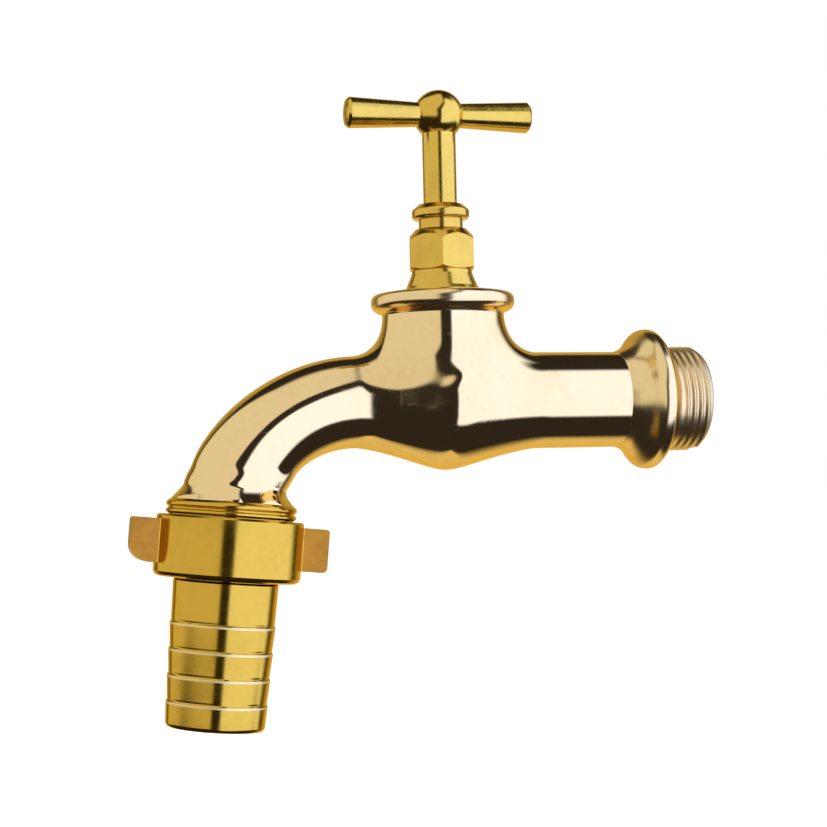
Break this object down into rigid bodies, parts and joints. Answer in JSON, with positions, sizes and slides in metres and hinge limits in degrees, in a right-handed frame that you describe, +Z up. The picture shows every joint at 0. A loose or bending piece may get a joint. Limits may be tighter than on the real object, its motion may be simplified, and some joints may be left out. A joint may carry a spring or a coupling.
{
  "type": "hose bib",
  "caption": "Brass screw-down hose bib with a tee handle, curved spout, male wall thread and a barbed hose tail held by a lugged union nut.",
  "frame": {"origin": "foot of the inlet thread on the pipe axis, where the collar meets the wall fitting", "axes": "+X along the inlet thread towards the wall, +Z up along the spindle, -X towards the spout"},
  "size_m": [0.1452, 0.0354, 0.1554],
  "materials": {
    "polished_brass": "cast, ground and polished bright",
    "satin_brass": "turned, satin with fine tool marks",
    "turned_brass": "turned and lightly polished",
    "black_rubber": "moulded, matt",
    "red_fibre": "pressed vulcanised fibre",
    "graphite_packing": "graphited braid, matt",
    "spring_steel": "bright spring wire"
  },
  "bodies": {
    "tap_body": {"body": "polished_brass", "bonnet": "turned_brass", "bonnet_gasket": "red_fibre", "gland_nut": "turned_brass", "gland_follower": "turned_brass", "packing_ring_upper": "graphite_packing", "packing_ring_lower": "graphite_packing", "packing_washer": "turned_brass"},
    "jumper_valve": {"jumper": "turned_brass", "seat_washer": "black_rubber", "washer_plate": "turned_brass", "jumper_nut": "turned_brass"},
    "handle_and_spindle": {"spindle": "turned_brass", "tee_handle": "turned_brass", "jumper_snap_ring": "spring_steel"},
    "hose_tail_set": {"hose_tail": "satin_brass", "union_gasket": "black_rubber"},
    "coupling_nut": {"union_nut": "satin_brass"}
  },
  "joints": [
    {"name": "jumper_lift", "type": "slide", "parent": "tap_body", "child": "jumper_valve", "axis": [0, 0, 1], "range_m": [0, 0.005]},
    {"name": "spindle_turn", "type": "hinge", "parent": "jumper_valve", "child": "handle_and_spindle", "pos_m": [-0.0576, 0, 0.0711], "axis": [0, 0, 1], "range_deg": [0, 900]},
    {"name": "hose_tail_drop", "type": "slide", "parent": "tap_body", "child": "hose_tail_set", "axis": [-0.0976, 0, -0.9952], "range_m": [0, 0.008]},
    {"name": "union_nut_turn", "type": "hinge", "parent": "hose_tail_set", "child": "coupling_nut", "pos_m": [-0.11238, 0, -0.03527], "axis": [-0.0976, 0, -0.9952], "range_deg": [0, 1440]}
  ],
  "couplings": [
    {"joint": "spindle_turn", "follows": "jumper_lift", "rad_per_m": 3141.6},
    {"joint": "union_nut_turn", "follows": "hose_tail_drop", "rad_per_m": 3141.6}
  ]
}
